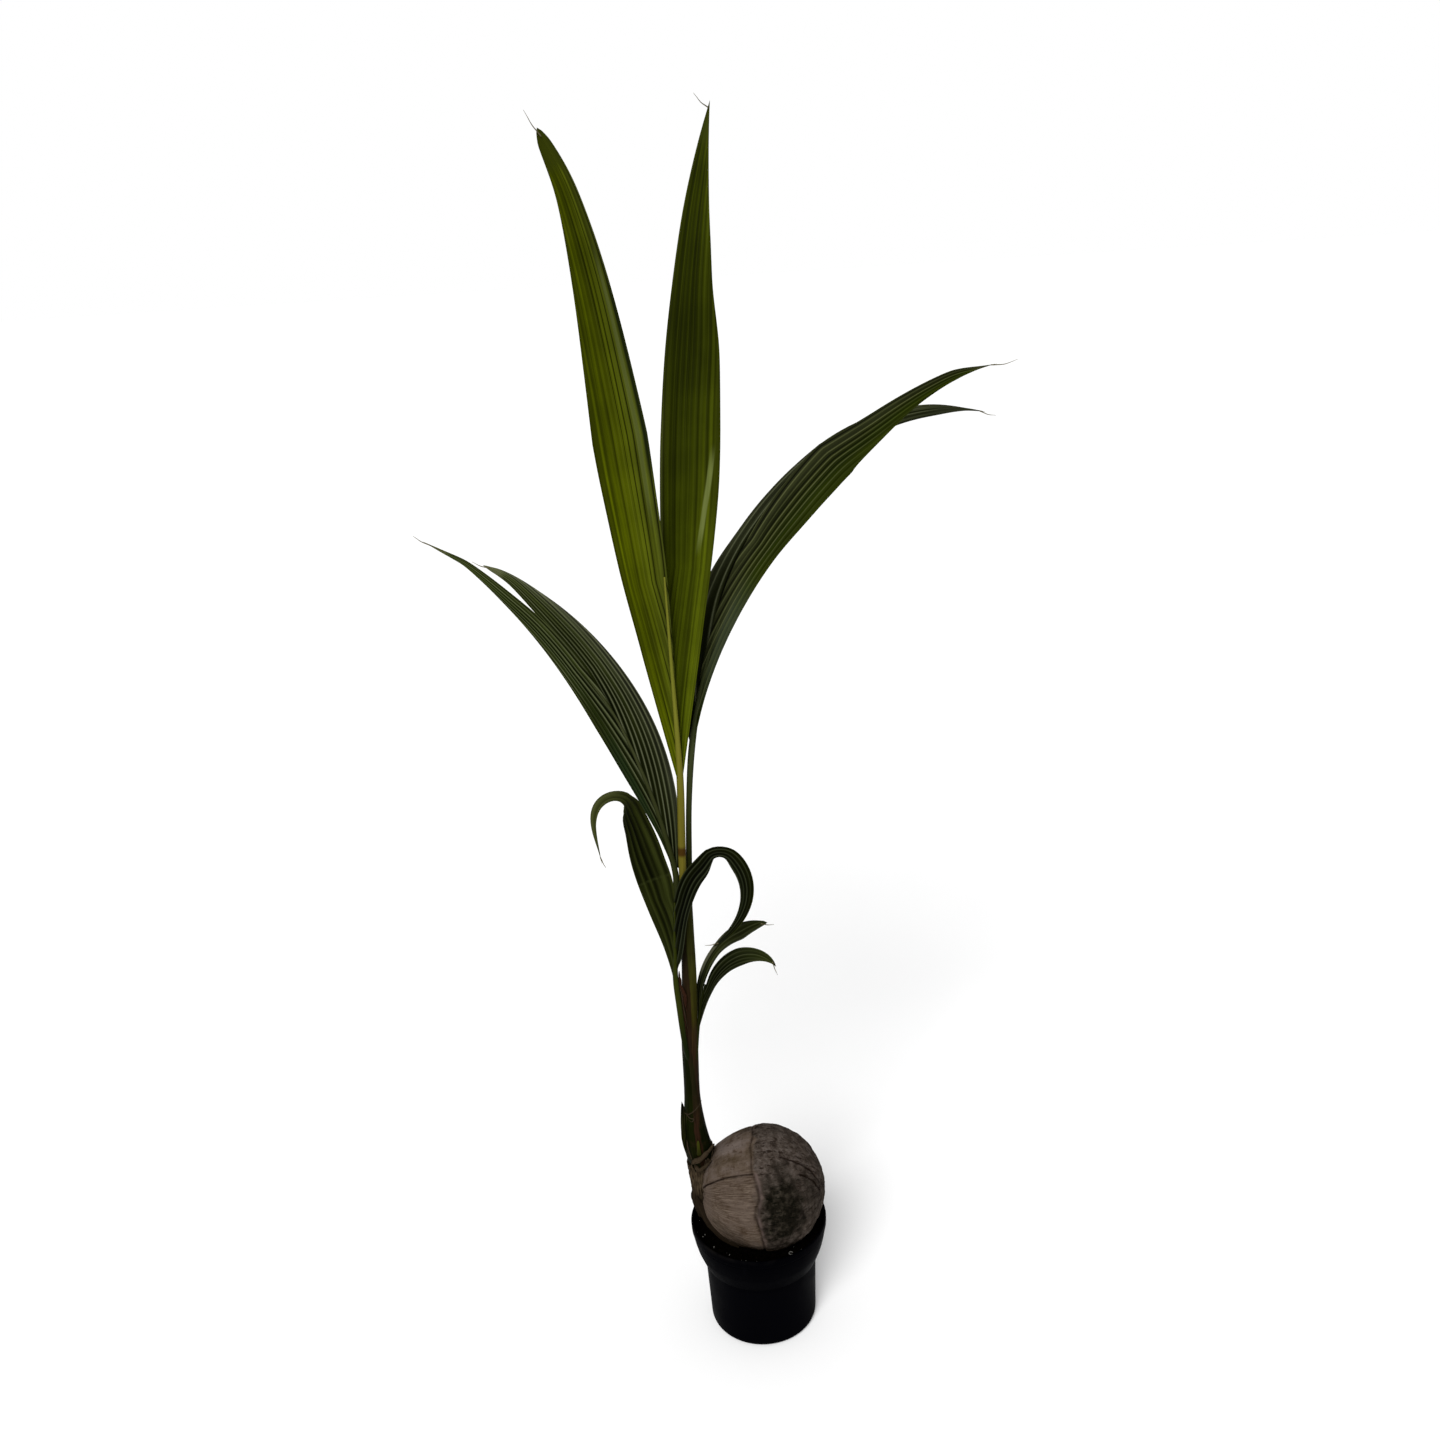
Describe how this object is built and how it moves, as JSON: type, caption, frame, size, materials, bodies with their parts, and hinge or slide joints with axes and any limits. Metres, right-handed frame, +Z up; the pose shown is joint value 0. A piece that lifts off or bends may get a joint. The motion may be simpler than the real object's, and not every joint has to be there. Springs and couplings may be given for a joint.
{
  "type": "coconut palm seedling in a nursery pot",
  "caption": "Young coconut palm sprouting from its husked nut in a round plastic nursery pot, with a leaning sheathed stem and forked pleated leaves.",
  "frame": {"origin": "the middle of the pot's flat underside, which is on the floor", "axes": "+Z up along the plant, +X the way the nut's blunt end points and away from the sprout, -Y the side the plant is seen from"},
  "size_m": [0.7028, 0.2973, 1.6064],
  "materials": {
    "coconut_husk": "matte",
    "stem": "satin",
    "husk_fibre": "matte",
    "stem_sheath": "matte",
    "yellow_stalk": "satin",
    "green_stalk": "satin",
    "young_leaf": "satin",
    "leaf": "satin",
    "potting_soil": "matte",
    "pot": "satin"
  },
  "bodies": {
    "root": {"coconut_husk": "coconut_husk", "stem": "stem", "husk_collar": "husk_fibre", "scale_leaf": "stem_sheath", "spear_petiole": "yellow_stalk", "right_petiole": "green_stalk", "left_petiole": "green_stalk", "low_petiole": "green_stalk", "small_petiole": "green_stalk", "spear_leaf_left": "young_leaf", "spear_leaf_right": "young_leaf", "right_leaf_front": "leaf", "right_leaf_rear": "leaf", "left_leaf_outer": "leaf", "left_leaf_upper": "leaf", "low_leaf_left": "leaf", "low_leaf_left_curl": "leaf", "low_leaf_right": "leaf", "low_leaf_right_curl": "leaf", "small_leaf_upper": "leaf", "small_leaf_lower": "leaf", "potting_soil": "potting_soil", "pot": "pot"}
  },
  "joints": []
}
